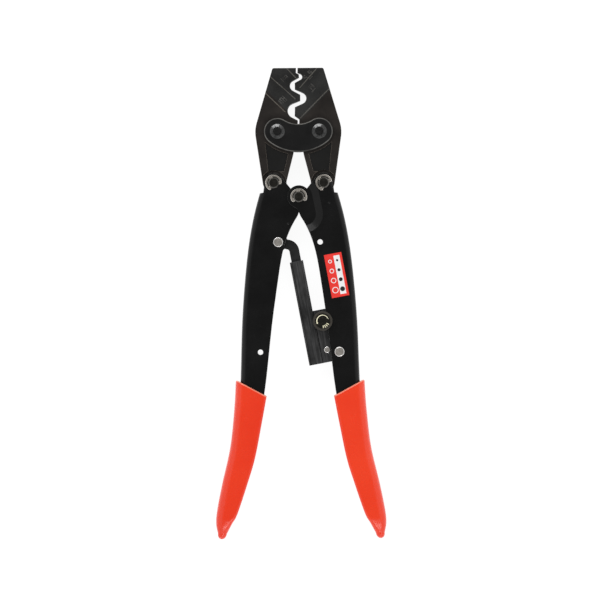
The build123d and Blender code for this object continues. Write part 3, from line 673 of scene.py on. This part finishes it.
def arc_arrow(centre, radius, width, start, end, head):
    """A band along a circle from start to end degrees, anticlockwise, with a pointed head."""
    angle = np.radians(np.linspace(start, end, 40))
    ring = np.stack([np.cos(angle), np.sin(angle)], 1)
    taper = np.linspace(0.55, 1.0, 40)[:, None] * width / 2
    outside, inside = ring * (radius + taper), ring * (radius - taper)
    tip_angle = np.radians(end + head)
    tip = np.array([[math.cos(tip_angle), math.sin(tip_angle)]]) * radius
    barbs = ring[-1:] * (radius + width * 1.05), ring[-1:] * (radius - width * 1.05)
    return np.vstack([outside, barbs[0], tip, barbs[1], inside[::-1]]) + centre


def ring_points(centre, radius, count=48):
    """Points round a circle, anticlockwise."""
    angle = np.linspace(0, 2 * np.pi, count, endpoint=False)
    return np.stack([np.cos(angle), np.sin(angle)], 1) * radius + centre


def turned_box(centre, width, tall, degrees_turned):
    """The corners of a rectangle turned about its centre, anticlockwise."""
    t = math.radians(degrees_turned)
    spin = np.array([[math.cos(t), math.sin(t)], [-math.sin(t), math.cos(t)]])
    return np.array([(-width, -tall), (width, -tall), (width, tall), (-width, tall)]) / 2 @ spin + centre


# %% The knob's marks
knob_low, knob_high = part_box("release_knob")
KNOB = np.array([(knob_low.x + knob_high.x) / 2, (knob_low.y + knob_high.y) / 2]) / MM
KNOB_R = (knob_high.x - knob_low.x) / 2 / MM
FACE_Z = knob_high.z / MM - 0.35
marks = [inlay("knob_arrow", arc_arrow(KNOB, 4.35, 0.75, 20, 198, 14), FACE_Z - 0.05, FACE_Z + 0.06)]
for k, angle in enumerate((-84, -66, -48, -30)):
    t = math.radians(angle)
    spot = KNOB + 4.3 * np.array([math.cos(t), math.sin(t)])
    marks.append(inlay(f"knob_tick_{k + 1}", turned_box(spot, 2.0, 0.62, angle),
                       FACE_Z - 0.05, FACE_Z + 0.06))
cream_paint, tree, shader = new_finish("cream_paint")
tree.links.new(blend_colour(tree, spread(tree, noise(tree, 900, 3), 0.3, 0.7),
                            (0.76, 0.71, 0.47), (0.88, 0.85, 0.63)),
               shader.inputs["Base Color"])
tree.links.new(spread(tree, noise(tree, 2600, 3), 0.3, 0.7, 0.45, 0.62), shader.inputs["Roughness"])
bump(tree, shader, noise(tree, 3000, 3), 0.00001)
for mark in marks:
    mark.data.materials.append(cream_paint)
    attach(mark, "release_knob")

knob_nylon, tree, shader = new_finish("black_nylon")
spot = node(tree, "Mapping")
spot.inputs["Location"].default_value = (-KNOB[0] * MM, -KNOB[1] * MM, 0)
spot.inputs["Scale"].default_value = (1, 1, 0)
tree.links.new(place(tree), spot.inputs["Vector"])
reach = tree.nodes.new("ShaderNodeVectorMath")
reach.operation = "LENGTH"
tree.links.new(spot.outputs["Vector"], reach.inputs[0])
rim = spread(tree, reach.outputs["Value"], (KNOB_R - 1.75) * MM, (KNOB_R - 1.55) * MM)
tone = blend_colour(tree, rim, (0.0045, 0.004, 0.002), (0.040, 0.036, 0.030))
speck = blend_colour(tree, spread(tree, noise(tree, 800, 4), 0.5, 0.85, 0, 0.25), tone, (0.09, 0.08, 0.065))
shader.inputs["Specular IOR Level"].default_value = 0.22
tree.links.new(speck, shader.inputs["Base Color"])
tree.links.new(spread(tree, noise(tree, 1500, 3), 0.3, 0.7, 0.34, 0.5), shader.inputs["Roughness"])
bump(tree, shader, noise(tree, 2400, 3), 0.00002)
nodes["release_knob"].data.materials.clear()
nodes["release_knob"].data.materials.append(knob_nylon)

# %% [markdown]
# ## The size label
#
# A printed film label sits on the right handle's flat. Its red ground is the CAD piece. The
# printed marks are generic: a white panel with four dots that grow like the four nests, and
# four rings beside it. Each is a film 0.03 mm proud of the ground.

# %% The label's print
label_low, label_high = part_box("size_label")
LABEL = np.array([(label_low.x + label_high.x) / 2, (label_low.y + label_high.y) / 2]) / MM
LABEL_TOP = label_high.z / MM
LABEL_TURN = 10.3
t = math.radians(LABEL_TURN)
LABEL_X, LABEL_Y = np.array([math.cos(t), math.sin(t)]), np.array([-math.sin(t), math.cos(t)])


def on_label(x, y):
    """A point on the label, from its centre, across and up."""
    return LABEL + LABEL_X * x + LABEL_Y * y


def film(name, loop, lift):
    """A printed film of a given outline, its top lifted above the label's red base."""
    return inlay(name, loop, LABEL_TOP - 0.02, LABEL_TOP + lift)


white_print = [film("label_panel", turned_box(on_label(2.5, 0), 4.5, 29.0, LABEL_TURN), 0.03)]
dark_print = []
for k, size in enumerate((0.85, 1.15, 1.45, 1.8)):
    y = 10.8 - 7.2 * k
    dark_print.append(film(f"label_dot_{k + 1}", ring_points(on_label(2.5, y), size), 0.05))
    band = ring_points(on_label(-2.9, y), size + 0.55)
    hole = ring_points(on_label(-2.9, y), size)
    white_print.append(film(f"label_ring_{k + 1}", band, 0.03))
    dark_print.append(film(f"label_ring_centre_{k + 1}", hole, 0.045))


def print_finish(name, first, second):
    """Printed film: two close tones, a soft gloss and a trace of film texture."""
    material, tree, shader = new_finish(name)
    tone = blend_colour(tree, spread(tree, noise(tree, 300, 3), 0.3, 0.7), first, second)
    tree.links.new(tone, shader.inputs["Base Color"])
    tree.links.new(spread(tree, noise(tree, 900, 3), 0.3, 0.7, 0.3, 0.42), shader.inputs["Roughness"])
    bump(tree, shader, noise(tree, 1600, 2), 0.000008)
    return material


label_red = print_finish("label_red", (0.78, 0.030, 0.022), (0.83, 0.040, 0.028))
label_white = print_finish("label_white", (0.80, 0.80, 0.80), (0.88, 0.88, 0.88))
label_ink = print_finish("label_ink", (0.010, 0.010, 0.010), (0.020, 0.020, 0.020))
nodes["size_label"].data.materials.clear()
nodes["size_label"].data.materials.append(label_red)
for piece in white_print:
    piece.data.materials.append(label_white)
for piece in dark_print:
    piece.data.materials.append(label_red if "centre" in piece.name else label_ink)
for piece in white_print + dark_print:
    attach(piece, "right_handle")
